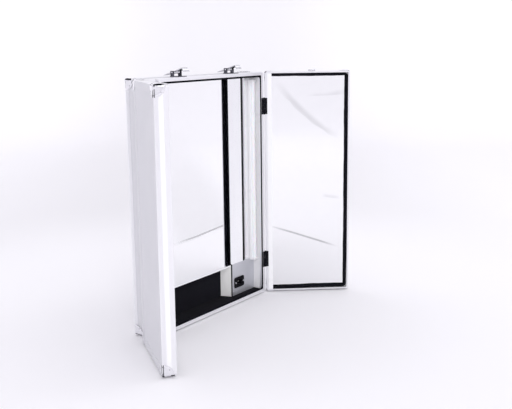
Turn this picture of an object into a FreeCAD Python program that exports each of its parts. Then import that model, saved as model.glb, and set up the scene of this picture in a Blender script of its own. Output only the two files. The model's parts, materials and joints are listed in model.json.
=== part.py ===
import FreeCAD, Part
import math
import os
import Sketcher

# An illuminated dressing mirror in a transport case that stands upright: a shallow box body with two
# mirrored door leaves hinged at its sides. X runs to the viewer's right, Y runs from front to back and
# Z is up. The origin lies on the floor, under the middle of the whole object with its doors opened.
doc = FreeCAD.newDocument("DressingMirrorCase")
sheet = doc.addObject("Spreadsheet::Sheet", "Dims")

# Driving dimensions, in millimetres and degrees.
dimensions = {
    "case_height": 696, "body_width": 530, "body_depth": 80, "foot_height": 4, "foot_radius": 6,
    "parting_setback": 63.1, "parting_gap": 1.5, "hinge_outset": 3, "open_angle": 128,
    "door_width": 262.5, "door_depth": 36, "corner_radius": 7, "edge_round": 3,
    "rim_band": 7, "rim_depth": 12, "body_rim_band": 10, "door_rim_band": 5, "profile_depth": 12,
    "lip_band": 20, "lip_thickness": 1, "inner_round": 0.5, "fit_gap": 0.2, "wall_inset": 1,
    "wall_thickness": 6, "panel_thickness": 5, "plate_round": 2.5, "soft_gap": 0.5,
    "gasket_band": 4, "gasket_depth": 2, "gasket_outer_round": 4, "gasket_inner_round": 9,
    "mirror_recess": 38, "mirror_thickness": 4, "board_thickness": 5, "mirror_bottom": 114.5,
    "shelf_thickness": 6, "rail_width": 24, "rail_offset": 190,
    "lining_thickness": 2, "door_recess": 10.5, "bar_band": 13, "foam_band": 8,
    "lamp_length": 567, "lamp_width": 23, "lamp_depth": 9, "lamp_bottom": 110, "lens_width": 17,
    "lens_depth": 9, "lens_skirt": 1, "cap_length": 8, "cap_margin": 1,
    "inlet_panel_width": 123, "sheet_metal": 1.5, "side_plate_slant": 12.6, "inlet_from_wall": 84,
    "inlet_height": 52,
    "flange_width": 50, "flange_height": 33, "flange_thickness": 3, "flange_round": 6,
    "socket_width": 24.5, "socket_height": 16.5, "socket_depth": 17, "inlet_shell": 2,
    "shell_round": 3, "pin_width": 4, "pin_thickness": 2, "pin_length": 11, "pin_spacing": 7,
    "earth_pin_rise": 1.5, "screw_spacing": 40, "screw_radius": 3, "screw_head": 1.2,
    "ballast_length": 230, "ballast_width": 30, "ballast_depth": 21, "ballast_bottom": 140,
    "lead_radius": 2, "lead_bend": 9, "lead_back": 66, "lead_cross_height": 118, "lead_hole": 5,
    "lead_spread": 7, "rail_bottom": 126, "stub_height": 160, "stub_inset": 19, "stub_hole": 3,
    "foot_x": 230, "foot_front": 24, "foot_back": 58, "door_foot_near": 38, "door_foot_far": 210,
    "door_foot_radius": 5.5,
    "ball_reach": 32, "ball_skin": 1.4, "ball_round": 2.5,
    "rivet_radius": 2.2, "rivet_height": 0.7, "rivet_inset": 17.9,
    "hinge_length": 50, "body_leaf_width": 13, "door_leaf_width": 9, "leaf_thickness": 1.2,
    "knuckle_radius": 3,
    "leaf_gap": 0.3, "hinge_pin_radius": 1.2, "hinge_head_radius": 2, "hinge_head": 1,
    "running_gap": 0.05, "knuckle_gap": 0.4, "hinge_low": 85.5, "hinge_high": 570.5,
    "latch_from_middle": 121, "latch_width": 34, "latch_base_front": 3, "latch_base_back": 34,
    "latch_base_thickness": 2, "latch_pin_back": 26, "latch_pin_rise": 12, "latch_pin_radius": 2,
    "ear_thickness": 2, "ear_length": 12, "ear_rise": 4, "lever_width": 27, "lever_reach": 33,
    "lever_tail": 34, "lever_thickness": 2, "lever_rise": 1, "lever_angle": 18, "hook_drop": 13,
    "hook_thickness": 2, "barrel_radius": 3.6, "pin_stand": 0.5,
    "keeper_width": 22, "keeper_rise": 5, "keeper_front": 2, "keeper_back": 6.5,
}


class Size:
    """A length that knows both its number and the sheet formula that it comes from."""

    def __init__(self, number, formula=None):
        self.number = float(number)
        self.formula = formula or repr(float(number))

    def joined(self, sign, other, number):
        return Size(number, "(%s %s %s)" % (self.formula, sign, other.formula))

    def __add__(self, other):
        other = asSize(other)
        return self.joined("+", other, self.number + other.number)

    def __sub__(self, other):
        other = asSize(other)
        return self.joined("-", other, self.number - other.number)

    def __mul__(self, factor):
        return self.joined("*", asSize(factor), self.number * float(factor))

    def __truediv__(self, factor):
        return self.joined("/", asSize(factor), self.number / float(factor))

    def __neg__(self):
        return Size(-self.number, "(0 - %s)" % self.formula)

    __radd__ = __add__
    __rmul__ = __mul__


def asSize(value):
    return value if isinstance(value, Size) else Size(value)


class Dims:
    """The sheet's cells by name."""


def fillSheet():
    for row, (alias, number) in enumerate(dimensions.items(), start=1):
        sheet.set("A%d" % row, alias)
        sheet.set("B%d" % row, str(number))
        sheet.setAlias("B%d" % row, alias)
        setattr(Dims, alias, Size(number, "Dims." + alias))
    doc.recompute()


fillSheet()
d = Dims
zero = Size(0)
pieces = {}

# Planes that many pieces share. Depths are counted back from the parting plane between body and doors.
caseTop = d.foot_height + d.case_height
halfWidth = d.body_width / 2
wallOuter = halfWidth - d.wall_inset
wallInner = wallOuter - d.wall_thickness
wallTop = caseTop - d.wall_inset
wallCeiling = wallTop - d.wall_thickness
wallBottom = d.foot_height + d.wall_inset
wallFloor = wallBottom + d.wall_thickness
rimBack = d.parting_gap + d.rim_depth
profileFront = d.body_depth - d.profile_depth
mirrorFace = d.parting_gap + d.mirror_recess
mirrorBack = mirrorFace + d.mirror_thickness
boardBack = mirrorBack + d.board_thickness
backPanelFace = d.body_depth - d.lip_thickness - d.panel_thickness
inletX = wallInner - d.inlet_from_wall
panelLeft = wallInner - d.inlet_panel_width
ballastX = d.rail_offset + d.rail_width
stubX = wallInner - d.stub_inset
leadX = ballastX + d.ballast_width / 2 + d.lead_spread

doorBack = d.parting_gap + d.door_depth
doorLeft = d.hinge_outset
doorRight = d.hinge_outset + d.door_width
doorMirrorFace = d.parting_gap + d.door_recess
doorMirrorBack = doorMirrorFace + d.mirror_thickness
doorPanelFace = doorBack - d.lip_thickness - d.panel_thickness


def keep(name, piece):
    """Record a finished sub-part under its own label."""
    piece.Label = name
    pieces[name] = piece
    return piece


def bind(piece, **properties):
    """Tie properties to sheet formulas; a double underscore stands for a dot."""
    for name, size in properties.items():
        piece.setExpression(name.replace("__", "."), asSize(size).formula)


def bodyPlace():
    """The body's own axes: origin at the floor, in the parting plane, on the middle line."""
    return FreeCAD.Placement(FreeCAD.Vector(0, d.parting_setback.number, 0), FreeCAD.Rotation())


def doorPlace():
    """The right door's axes: x from the hinge pin to the free edge, y out through the door, z up."""
    turn = FreeCAD.Rotation(FreeCAD.Vector(0, 0, 1), 180 + d.open_angle.number)
    hinge = FreeCAD.Vector((halfWidth + d.hinge_outset).number, d.parting_setback.number, 0)
    return FreeCAD.Placement(hinge, turn)


def block(name, xs, ys, zs):
    """A box between two corners, each given as a pair of sizes."""
    box = doc.addObject("Part::Box", name)
    bind(box, Length=xs[1] - xs[0], Width=ys[1] - ys[0], Height=zs[1] - zs[0],
         Placement__Base__x=xs[0], Placement__Base__y=ys[0], Placement__Base__z=zs[0])
    return box


def rod(name, radius, length, at, direction=(0, 0, 1)):
    """A cylinder that starts at a point and runs along a direction."""
    cylinder = doc.addObject("Part::Cylinder", name)
    cylinder.Placement.Rotation = FreeCAD.Rotation(FreeCAD.Vector(0, 0, 1), FreeCAD.Vector(direction))
    bind(cylinder, Radius=radius, Height=length,
         Placement__Base__x=at[0], Placement__Base__y=at[1], Placement__Base__z=at[2])
    return cylinder


def fused(name, shapes):
    joint = doc.addObject("Part::MultiFuse", name)
    joint.Shapes = shapes
    return joint


def cut(name, base, tool):
    result = doc.addObject("Part::Cut", name)
    result.Base = base
    result.Tool = tool
    return result


def group(name, members, place):
    """Several separate solids of one kind, kept together as one sub-part."""
    compound = doc.addObject("Part::Compound", name)
    compound.Links = members
    compound.Placement = place
    return keep(name, compound)


def mirrored(name, source):
    """The left-hand twin of a right-hand sub-part, reflected in the middle plane."""
    twin = doc.addObject("Part::Mirroring", name)
    twin.Source = source
    twin.Base = FreeCAD.Vector(0, 0, 0)
    twin.Normal = FreeCAD.Vector(1, 0, 0)
    return keep(name, twin)


def bothSides(name, members, place):
    """Right-hand solids and their left-hand twins, together as one sub-part."""
    right = doc.addObject("Part::Compound", name + "_right")
    right.Links = members
    right.Placement = place
    left = doc.addObject("Part::Mirroring", name + "_left")
    left.Source = right
    left.Base = FreeCAD.Vector(0, 0, 0)
    left.Normal = FreeCAD.Vector(1, 0, 0)
    both = doc.addObject("Part::Compound", name)
    both.Links = [right, left]
    return keep(name, both)


def newBody(name, place):
    body = doc.addObject("PartDesign::Body", name)
    body.Placement = place
    return keep(name, body)


def originPlane(body, role):
    return next(part for part in body.Origin.OriginFeatures if part.Role == role)


def sketchOn(body, name, role, offset):
    """A sketch on one of a body's origin planes, moved along the plane's normal."""
    sketch = body.newObject("Sketcher::SketchObject", name)
    sketch.AttachmentSupport = (originPlane(body, role), [""])
    sketch.MapMode = "FlatFace"
    sketch.setExpression("AttachmentOffset.Base.z", asSize(offset).formula)
    return sketch


def dimension(sketch, kind, geometry, size):
    """Add one sketch dimension and tie it to its formula."""
    index = sketch.addConstraint(Sketcher.Constraint(kind, *geometry, size.number))
    sketch.setExpression("Constraints[%d]" % index, size.formula)


def roundedLoop(sketch, xs, zs, radius):
    """A rectangle with equal round corners: four sides and four quarter arcs, end to end."""
    x0, x1, z0, z1, r = xs[0].number, xs[1].number, zs[0].number, zs[1].number, radius.number
    corners = [(x1 - r, z0 + r, 270), (x1 - r, z1 - r, 0), (x0 + r, z1 - r, 90), (x0 + r, z0 + r, 180)]
    sides = [((x0 + r, z0), (x1 - r, z0)), ((x1, z0 + r), (x1, z1 - r)),
             ((x1 - r, z1), (x0 + r, z1)), ((x0, z1 - r), (x0, z0 + r))]
    up = FreeCAD.Vector(0, 0, 1)
    lines = []
    arcs = []
    for side, (cx, cz, start) in zip(sides, corners):
        ends = [FreeCAD.Vector(x, z, 0) for x, z in side]
        lines.append(sketch.addGeometry(Part.LineSegment(*ends), False))
        circle = Part.Circle(FreeCAD.Vector(cx, cz, 0), up, r)
        arc = Part.ArcOfCircle(circle, math.radians(start), math.radians(start + 90))
        arcs.append(sketch.addGeometry(arc, False))
    for index in range(4):
        following = lines[(index + 1) % 4]
        sketch.addConstraint(Sketcher.Constraint("Tangent", lines[index], 2, arcs[index], 1))
        sketch.addConstraint(Sketcher.Constraint("Tangent", arcs[index], 2, following, 1))
        heading = "Horizontal" if index % 2 == 0 else "Vertical"
        sketch.addConstraint(Sketcher.Constraint(heading, lines[index]))
    for arc in arcs[1:]:
        sketch.addConstraint(Sketcher.Constraint("Equal", arcs[0], arc))
    dimension(sketch, "Radius", (arcs[0],), radius)
    dimension(sketch, "DistanceX", (lines[3], 1, lines[1], 1), xs[1] - xs[0])
    dimension(sketch, "DistanceY", (lines[0], 1, lines[2], 1), zs[1] - zs[0])
    dimension(sketch, "DistanceX", (-1, 1, lines[3], 1), xs[0])
    dimension(sketch, "DistanceY", (-1, 1, lines[0], 1), zs[0])


def pad(body, name, sketch, length):
    """Extrude a sketch along its normal."""
    feature = body.newObject("PartDesign::Pad", name)
    feature.Profile = sketch
    bind(feature, Length=length)
    sketch.Visibility = False
    return feature


def shrunk(pair, band):
    return (pair[0] + band, pair[1] - band)


def ring(body, name, xs, zs, band, ys, radii):
    """A frame in the upright XZ plane, between two depths, with its outer and inner corner radii."""
    sketch = sketchOn(body, name + "_outline", "XZ_Plane", -ys[1])
    roundedLoop(sketch, xs, zs, radii[0])
    roundedLoop(sketch, shrunk(xs, band), shrunk(zs, band), radii[1])
    return pad(body, name, sketch, ys[1] - ys[0])


def plateBody(name, place, xs, ys, zs, radius):
    """An upright plate with round corners."""
    body = newBody(name, place)
    sketch = sketchOn(body, name + "_outline", "XZ_Plane", -ys[1])
    roundedLoop(sketch, xs, zs, radius)
    pad(body, name + "_pad", sketch, ys[1] - ys[0])
    return body


def roundOuterEdge(body, name, feature, depth, xs, zs, radius):
    """Round the outer loop of edges that lies at one depth."""
    doc.recompute()
    wanted = []
    for index, edge in enumerate(feature.Shape.Edges, start=1):
        bounds = edge.BoundBox
        flat = abs(bounds.YMin - depth.number) < 0.01 and abs(bounds.YMax - depth.number) < 0.01
        atSide = min(abs(bounds.XMin - xs[0].number), abs(bounds.XMax - xs[1].number)) < 0.01
        atEnd = min(abs(bounds.ZMin - zs[0].number), abs(bounds.ZMax - zs[1].number)) < 0.01
        if flat and (atSide or atEnd):
            wanted.append("Edge%d" % index)
    fillet = body.newObject("PartDesign::Fillet", name)
    fillet.Base = (feature, wanted)
    bind(fillet, Radius=radius)
    return fillet


def closingRim(name, place, xs, zs, band):
    """The aluminium profile round the face where body and door meet."""
    body = newBody(name, place)
    ring(body, name + "_ring", xs, zs, band, (d.parting_gap, rimBack),
         (d.corner_radius, d.inner_round))
    return body


def edgeProfile(name, place, xs, zs, band, ys):
    """The aluminium profile round the outer edge: a side leg, and a thin lip over the panel."""
    body = newBody(name, place)
    lip = ys[1] - d.lip_thickness
    radii = (d.corner_radius, d.inner_round)
    ring(body, name + "_leg", xs, zs, band, (ys[0], lip), radii)
    last = ring(body, name + "_lip", xs, zs, d.lip_band, (lip, ys[1]), radii)
    roundOuterEdge(body, name + "_round", last, ys[1], xs, zs, d.edge_round)
    return body


def wallStrips(prefix, xs, zs, ys):
    """Four straight wall boards round a rectangle, the upright ones between the level ones."""
    low, high = (zs[0], zs[0] + d.wall_thickness), (zs[1] - d.wall_thickness, zs[1])
    between = (low[1], high[0])
    return {
        "bottom": block(prefix + "bottom", xs, ys, low),
        "top": block(prefix + "top", xs, ys, high),
        "left": block(prefix + "left", (xs[0], xs[0] + d.wall_thickness), ys, between),
        "right": block(prefix + "right", (xs[1] - d.wall_thickness, xs[1]), ys, between),
    }


def setBack(ys):
    """Depths behind the parting plane, counted from the object's own origin instead."""
    return tuple(d.parting_setback + y for y in ys)


def bodyCase():
    """Walls, back and aluminium profiles of the box body."""
    xs, zs = (-halfWidth, halfWidth), (d.foot_height, caseTop)
    strips = wallStrips("wall_", (-wallOuter, wallOuter), (wallBottom, wallTop),
                        setBack((rimBack, profileFront)))
    for side, strip in strips.items():
        keep(side + "_wall_panel", strip)
    closingRim("body_closing_rim", bodyPlace(), xs, zs, d.body_rim_band)
    edgeProfile("body_edge_profile", bodyPlace(), xs, zs, d.rim_band, (profileFront, d.body_depth))
    inner = (-halfWidth + d.rim_band, halfWidth - d.rim_band)
    plateBody("back_panel", bodyPlace(), inner, (backPanelFace, d.body_depth - d.lip_thickness),
              (d.foot_height + d.rim_band, caseTop - d.rim_band), d.plate_round)


def rimGasket():
    """The black seal that lines the opening of the body."""
    body = newBody("rim_gasket", bodyPlace())
    xs = shrunk((-halfWidth, halfWidth), d.body_rim_band)
    zs = shrunk((d.foot_height, caseTop), d.body_rim_band)
    front = d.parting_gap + d.soft_gap
    ring(body, "rim_gasket_ring", xs, zs, d.gasket_band, (front, front + d.gasket_depth),
         (d.gasket_outer_round, d.gasket_inner_round))


def centreMirror():
    """The centre mirror, its backing board, the rails that carry it and the shelf under it."""
    xs = (-wallInner, wallInner)
    zs = (d.mirror_bottom, wallCeiling)
    for name, ys in (("centre_mirror", (mirrorFace, mirrorBack)), ("mirror_board", (mirrorBack, boardBack))):
        sheetGoods = block(name + "_blank", xs, setBack(ys), zs)
        holes = [rod(name + "_hole", d.stub_hole, boardBack,
                     (stubX * side, d.parting_setback, d.stub_height), (0, 1, 0)) for side in (-1, 1)]
        keep(name, cut(name, sheetGoods, fused(name + "_holes", holes)))
    rails = []
    for side in (-1, 1):
        middle = d.rail_offset * side
        rails.append(block("rail", (middle - d.rail_width / 2, middle + d.rail_width / 2),
                           (boardBack, backPanelFace), (d.rail_bottom, wallCeiling)))
    group("mirror_rails", rails, bodyPlace())
    shelf = block("shelf_blank", xs, setBack((mirrorFace + d.sheet_metal, backPanelFace)),
                  (d.mirror_bottom - d.shelf_thickness, d.mirror_bottom))
    leadHole = rod("shelf_hole", d.lead_hole, d.shelf_thickness * 2,
                   (leadX, d.parting_setback + d.lead_back, d.mirror_bottom - d.shelf_thickness * 1.5))
    keep("mirror_shelf", cut("mirror_shelf", shelf, leadHole))


def compartmentLining():
    """Black carpet on the floor, the back and the left wall of the open compartment."""
    floorTop = wallFloor + d.lining_thickness
    ceiling = d.mirror_bottom - d.shelf_thickness
    floor = block("carpet_floor", shrunk((-wallInner, wallInner), d.soft_gap), (rimBack, backPanelFace),
                  (wallFloor, floorTop))
    sideX = (-wallInner, -wallInner + d.lining_thickness)
    side = block("carpet_side", sideX, (rimBack, backPanelFace), (floorTop, ceiling))
    backX = (sideX[1], panelLeft - d.side_plate_slant)
    back = block("carpet_back", backX, (backPanelFace - d.lining_thickness, backPanelFace),
                 (floorTop, ceiling))
    group("compartment_lining", [floor, side, back], bodyPlace())


def rightLamp():
    """A slim lamp batten upright in the right front corner: housing, lens and two end caps."""
    xs = (wallInner - d.lamp_width, wallInner)
    top = d.lamp_bottom + d.lamp_length
    ys = (mirrorFace - d.lamp_depth, mirrorFace)
    middle = wallInner - d.lamp_width / 2
    keep("right_lamp_housing", block("housing", xs, setBack(ys), (d.lamp_bottom, top)))
    lensX = (middle - d.lens_width / 2, middle + d.lens_width / 2)
    body = newBody("right_lamp_lens", bodyPlace())
    sketch = sketchOn(body, "lens_section", "XY_Plane", d.lamp_bottom + d.cap_length)
    half = d.lens_width / 2
    centre = FreeCAD.Vector(middle.number, (ys[0] - d.lens_skirt).number, 0)
    circle = Part.Circle(centre, FreeCAD.Vector(0, 0, 1), half.number)
    arc = sketch.addGeometry(Part.ArcOfCircle(circle, math.pi, 2 * math.pi), False)
    reach, skirt = half.number, d.lens_skirt.number
    ends = [centre + FreeCAD.Vector(offset, rise, 0)
            for offset, rise in ((reach, 0), (reach, skirt), (-reach, skirt), (-reach, 0))]
    sides = [sketch.addGeometry(Part.LineSegment(a, b), False) for a, b in zip(ends, ends[1:])]
    sketch.addConstraint(Sketcher.Constraint("Coincident", arc, 2, sides[0], 1))
    sketch.addConstraint(Sketcher.Constraint("Coincident", sides[0], 2, sides[1], 1))
    sketch.addConstraint(Sketcher.Constraint("Coincident", sides[1], 2, sides[2], 1))
    sketch.addConstraint(Sketcher.Constraint("Coincident", sides[2], 2, arc, 1))
    sketch.addConstraint(Sketcher.Constraint("Vertical", sides[0]))
    sketch.addConstraint(Sketcher.Constraint("Vertical", sides[2]))
    sketch.addConstraint(Sketcher.Constraint("Horizontal", sides[1]))
    sketch.addConstraint(Sketcher.Constraint("Horizontal", arc, 1, arc, 2))
    sketch.addConstraint(Sketcher.Constraint("Horizontal", arc, 1, arc, 3))
    dimension(sketch, "DistanceY", (arc, 1, sides[1], 2), d.lens_skirt)
    dimension(sketch, "DistanceX", (sides[1], 2, sides[1], 1), d.lens_width)
    dimension(sketch, "DistanceX", (-1, 1, sides[1], 2), lensX[0])
    dimension(sketch, "DistanceY", (-1, 1, sides[1], 2), ys[0])
    pad(body, "lens_pad", sketch, d.lamp_length - d.cap_length * 2)
    caps = []
    capX = shrunk(lensX, -d.cap_margin)
    capY = (ys[0] - d.lens_depth - d.cap_margin, ys[0])
    for base in (d.lamp_bottom, top - d.cap_length):
        caps.append(block("end_cap", capX, capY, (base, base + d.cap_length)))
    bothSides("lamp_end_caps", caps, bodyPlace())


def electricalBox():
    """The brushed inlet panel, the slanted side plate behind it and the ballast behind the mirror."""
    top = d.mirror_bottom - d.shelf_thickness
    floor = wallFloor + d.lining_thickness
    sheetY = (mirrorFace, mirrorFace + d.sheet_metal)
    face = block("panel_blank", (panelLeft, wallInner), setBack(sheetY), (floor, d.mirror_bottom))
    half = d.inlet_shell + d.socket_width / 2
    rise = d.inlet_shell + d.socket_height / 2
    hole = block("panel_hole", (inletX - half, inletX + half), setBack(shrunk(sheetY, -d.sheet_metal)),
                 (d.inlet_height - rise, d.inlet_height + rise))
    keep("inlet_panel", cut("inlet_panel", face, hole))
    plate = doc.addObject("Part::Wedge", "side_plate")
    plateY = setBack((sheetY[1], backPanelFace))
    bind(plate, Xmin=panelLeft, Xmax=panelLeft + d.sheet_metal, Ymin=plateY[0], Ymax=plateY[1],
         Zmin=floor, Zmax=top, Z2min=floor, Z2max=top, X2min=panelLeft - d.side_plate_slant,
         X2max=panelLeft - d.side_plate_slant + d.sheet_metal)
    keep("electrics_side_plate", plate)
    ballast = block("ballast", (ballastX, ballastX + d.ballast_width),
                    (backPanelFace - d.ballast_depth, backPanelFace),
                    (d.ballast_bottom, d.ballast_bottom + d.ballast_length))
    bothSides("lamp_ballasts", [ballast], bodyPlace())


def mainsInlet():
    """A three-pin mains inlet: an oval flange with two screw ears and a socket shell behind it."""
    body = newBody("mains_inlet", bodyPlace())
    front = mirrorFace - d.flange_thickness
    xs = (inletX - d.flange_width / 2, inletX + d.flange_width / 2)
    zs = (d.inlet_height - d.flange_height / 2, d.inlet_height + d.flange_height / 2)
    flange = sketchOn(body, "flange_outline", "XZ_Plane", -mirrorFace)
    roundedLoop(flange, xs, zs, d.flange_round)
    pad(body, "flange", flange, d.flange_thickness)
    shellX = (inletX - d.socket_width / 2 - d.inlet_shell, inletX + d.socket_width / 2 + d.inlet_shell)
    shellZ = (d.inlet_height - d.socket_height / 2 - d.inlet_shell,
              d.inlet_height + d.socket_height / 2 + d.inlet_shell)
    depth = d.socket_depth + d.inlet_shell
    shell = sketchOn(body, "shell_outline", "XZ_Plane", -(front + depth))
    roundedLoop(shell, shellX, shellZ, d.shell_round)
    pad(body, "shell", shell, depth)
    mouth = sketchOn(body, "mouth_outline", "XZ_Plane", -(front + d.socket_depth))
    roundedLoop(mouth, shrunk(shellX, d.inlet_shell), shrunk(shellZ, d.inlet_shell), d.plate_round)
    pocket = body.newObject("PartDesign::Pocket", "mouth")
    pocket.Profile = mouth
    pocket.Reversed = True
    bind(pocket, Length=d.socket_depth + d.inlet_shell)
    pins = []
    back = front + d.socket_depth
    for step in (-1, 0, 1):
        x = inletX + d.pin_spacing * step
        z = d.inlet_height + d.earth_pin_rise if step == 0 else d.inlet_height
        pins.append(block("inlet_pin", (x - d.pin_thickness / 2, x + d.pin_thickness / 2),
                          (back - d.pin_length, back), (z - d.pin_width / 2, z + d.pin_width / 2)))
    group("inlet_pins", pins, bodyPlace())
    screws = []
    for side in (-1, 1):
        at = (inletX + d.screw_spacing / 2 * side, front, d.inlet_height)
        screws.append(rod("inlet_screw", d.screw_radius, d.screw_head, at, (0, -1, 0)))
    group("inlet_screws", screws, bodyPlace())


def feet():
    """Round rubber feet under the body and the right door."""
    height = d.foot_height + d.wall_inset
    under = [rod("foot", d.foot_radius, height, (d.foot_x, y, zero)) for y in (d.foot_front, d.foot_back)]
    bothSides("body_feet", under, bodyPlace())
    middle = (rimBack + doorBack - d.profile_depth) / 2
    doorFeet = [rod("foot", d.door_foot_radius, height, (x, middle, zero))
                for x in (d.door_foot_near, d.door_foot_far)]
    group("right_door_feet", doorFeet, doorPlace())


def ballCorner(name, corner, signs):
    """A chrome corner cap: three thin quarter discs that meet in rounded edges at one corner."""
    reach, skin = d.ball_reach, d.ball_skin

    def span(at, sign, near, far):
        ends = (at + near * sign, at + far * sign)
        return ends if sign > 0 else (ends[1], ends[0])

    outer = block(name + "_outer", *(span(at, sign, -skin, reach) for at, sign in zip(corner, signs)))
    rounded = doc.addObject("Part::Fillet", name + "_rounded")
    rounded.Base = outer
    doc.recompute()
    edges = []
    for index, edge in enumerate(outer.Shape.Edges, start=1):
        middle = edge.BoundBox.Center
        on = [abs((point - at.number) * sign + skin.number) < 0.01
              for point, at, sign in zip((middle.x, middle.y, middle.z), corner, signs)]
        if sum(on) == 2:
            edges.append((index, d.ball_round.number, d.ball_round.number))
    rounded.Edges = edges
    discs = [rod(name + "_disc", reach, skin, corner, (-signs[0], 0, 0)),
             rod(name + "_disc", reach, skin, corner, (0, -signs[1], 0)),
             rod(name + "_disc", reach, skin, corner, (0, 0, -signs[2]))]
    cap = doc.addObject("Part::Common", name)
    cap.Base = rounded
    cap.Tool = fused(name + "_discs", discs)
    return cap


def cornersOf(xs, zs):
    """The four corners of an upright face, each with the signs that lead from it into the face."""
    return [(x, z, signX, signZ) for x, signX in zip(xs, (1, -1)) for z, signZ in zip(zs, (1, -1))]


def cornerCaps(name, xs, y, zs, place):
    """Ball corners on the four corners of the outer face, as one group."""
    caps = [ballCorner("%s_%d" % (name, index), (x, y, z), (signX, -1, signZ))
            for index, (x, z, signX, signZ) in enumerate(cornersOf(xs, zs))]
    group(name, caps, place)


def rivets(name, xs, y, zs, place):
    """Low rivet heads on the caps: one on each of the three faces that meet at a corner."""
    heads = []
    skin, inset = d.ball_skin, d.rivet_inset
    for x, z, signX, signZ in cornersOf(xs, zs):
        inX, inY, inZ = x + inset * signX, y - inset, z + inset * signZ
        spots = [((inX, y + skin, inZ), (0, 1, 0)),
                 ((x - skin * signX, inY, inZ), (-signX, 0, 0)),
                 ((inX, inY, z - skin * signZ), (0, 0, -signZ))]
        for at, direction in spots:
            heads.append(rod("rivet", d.rivet_radius, d.rivet_height, at, direction))
    group(name, heads, place)


def rightDoor():
    """Every fixed piece of the right door leaf, in the door's own axes."""
    place = doorPlace()
    xs, zs = (doorLeft, doorRight), (d.foot_height, caseTop)
    inX, inZ = shrunk(xs, d.rim_band), shrunk(zs, d.rim_band)
    closingRim("right_door_rim", place, xs, zs, d.door_rim_band)
    edgeProfile("right_door_edge_profile", place, xs, zs, d.rim_band, (doorBack - d.profile_depth, doorBack))
    strips = wallStrips("door_wall_", shrunk(xs, d.wall_inset), (wallBottom, wallTop),
                        (rimBack, doorBack - d.profile_depth))
    group("right_door_walls", list(strips.values()), place)
    plateBody("right_door_skin", place, inX, (doorPanelFace, doorBack - d.lip_thickness), inZ, d.plate_round)
    plateBody("right_door_mirror", place, inX, (doorMirrorFace, doorMirrorBack), inZ, d.plate_round)
    plateBody("right_door_foam_core", place, inX, (doorMirrorBack, doorPanelFace), inZ, d.plate_round)
    nearX = shrunk(xs, d.door_rim_band + d.fit_gap)
    nearZ = shrunk(zs, d.door_rim_band + d.fit_gap)
    barX = (nearX[0], inX[0] + d.bar_band)
    bar = block("hinge_bar", barX, (d.parting_gap, doorMirrorFace), nearZ)
    group("right_door_hinge_bar", [bar], place)
    ys = (d.parting_gap + d.soft_gap, doorMirrorFace)
    liningX = (barX[1], nearX[1])
    freeX = (inX[1] - d.foam_band, nearX[1])
    low, high = (nearZ[0], inZ[0] + d.foam_band), (inZ[1] - d.foam_band, nearZ[1])
    lining = [block("lining_bottom", liningX, ys, low), block("lining_top", liningX, ys, high),
              block("lining_free", freeX, ys, (low[1], high[0]))]
    group("right_door_lining", lining, place)
    keeperX = d.hinge_outset + halfWidth - d.latch_from_middle
    half = d.keeper_width / 2
    keeper = block("keeper", (keeperX - half, keeperX + half), (d.keeper_front, d.keeper_back),
                   (caseTop, caseTop + d.keeper_rise))
    group("right_door_keeper", [keeper], place)
    cornerCaps("right_door_corner_caps", xs, doorBack, zs, place)
    rivets("right_door_rivets", xs, doorBack, zs, place)


def bodyCorners():
    """Ball corners and their rivets round the back of the box body."""
    xs, zs = (-halfWidth, halfWidth), (d.foot_height, caseTop)
    cornerCaps("body_corner_caps", xs, d.body_depth, zs, bodyPlace())
    rivets("body_rivets", xs, d.body_depth, zs, bodyPlace())


def hingeLeaf(name, base, side, width, own, mate):
    """A flat leaf with its share of the knuckles, bored for the pin and cleared for its mate."""
    y0, y1 = d.leaf_gap, d.leaf_gap + d.leaf_thickness
    ys = (y0, y1) if side > 0 else (-y1, -y0)
    leaf = block(name + "_leaf", (zero, width), ys, (base, base + d.hinge_length))
    knuckles = [rod(name + "_knuckle", d.knuckle_radius, end - start, (zero, zero, base + start))
                for start, end in own]
    clear = [rod(name + "_clear", d.knuckle_radius + d.knuckle_gap, end - start + d.knuckle_gap * 2,
                 (zero, zero, base + start - d.knuckle_gap)) for start, end in mate]
    trimmed = cut(name + "_trimmed", leaf, fused(name + "_clearance", clear) if len(clear) > 1 else clear[0])
    solid = fused(name + "_solid", [trimmed] + knuckles)
    bore = rod(name + "_bore", d.hinge_pin_radius + d.running_gap, d.hinge_length + d.hinge_head * 2,
               (zero, zero, base - d.hinge_head))
    return cut(name, solid, bore)


def hinges():
    """Two butt hinges on each side: leaves on the closing rims, and loose pins with heads."""
    third = d.hinge_length / 3
    gap = d.knuckle_gap
    outer = [(zero, third), (third * 2, d.hinge_length)]
    middle = [(third + gap, third * 2 - gap)]
    levels = (d.hinge_low, d.hinge_high)
    doorLeaves = [hingeLeaf("door_leaf", low, 1, d.door_leaf_width, middle, outer) for low in levels]
    group("right_door_hinge_leaves", doorLeaves, doorPlace())
    atHinge = FreeCAD.Vector((halfWidth + d.hinge_outset).number, d.parting_setback.number, 0)
    halfTurn = FreeCAD.Rotation(FreeCAD.Vector(0, 0, 1), 180)
    bodyLeaves = [hingeLeaf("body_leaf", low, -1, d.body_leaf_width, outer, middle) for low in levels]
    bothSides("body_hinge_leaves", bodyLeaves, FreeCAD.Placement(atHinge, halfTurn))
    pins = []
    for low in levels:
        top = low + d.hinge_length
        shank = rod("pin_shank", d.hinge_pin_radius, top - low + d.hinge_head * 2,
                    (zero, zero, low - d.hinge_head))
        heads = [rod("pin_head", d.hinge_head_radius, d.hinge_head, (zero, zero, start))
                 for start in (low - d.hinge_head - d.fit_gap, top + d.fit_gap)]
        pins.append(fused("hinge_pin", [shank] + heads))
    bothSides("hinge_pins", pins, FreeCAD.Placement(atHinge, FreeCAD.Rotation()))


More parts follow.
